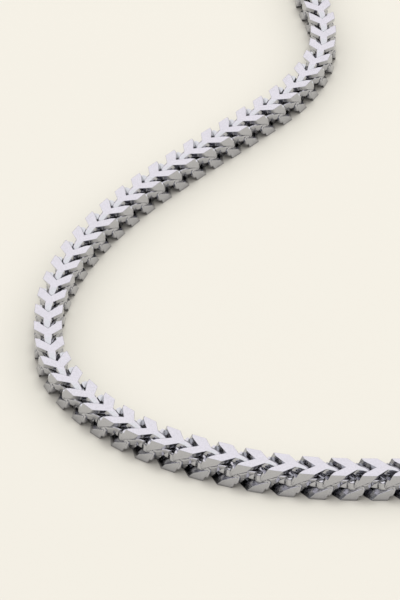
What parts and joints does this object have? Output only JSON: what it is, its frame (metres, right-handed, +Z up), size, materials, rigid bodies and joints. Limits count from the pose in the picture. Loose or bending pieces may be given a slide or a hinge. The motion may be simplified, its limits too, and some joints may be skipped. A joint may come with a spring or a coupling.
{
  "type": "franco chain necklace",
  "caption": "Square franco chain of filed V-shaped steel links, closed by a plain clasp and lying in a loop on a surface.",
  "frame": {"origin": "on the resting surface, under the middle of the loop's outline", "axes": "+Z up from the surface; +Y along the loop's long direction, away from the viewer of the picture; +X to the viewer's right"},
  "size_m": [0.1437, 0.2244, 0.006],
  "materials": {
    "polished_steel": "polished and filed flat",
    "clasp_steel": "polished"
  },
  "bodies": {
    "root": {"chain_front": "polished_steel", "chain_back": "polished_steel", "ring_front": "clasp_steel", "ring_back": "clasp_steel", "clasp": "clasp_steel"}
  },
  "joints": []
}
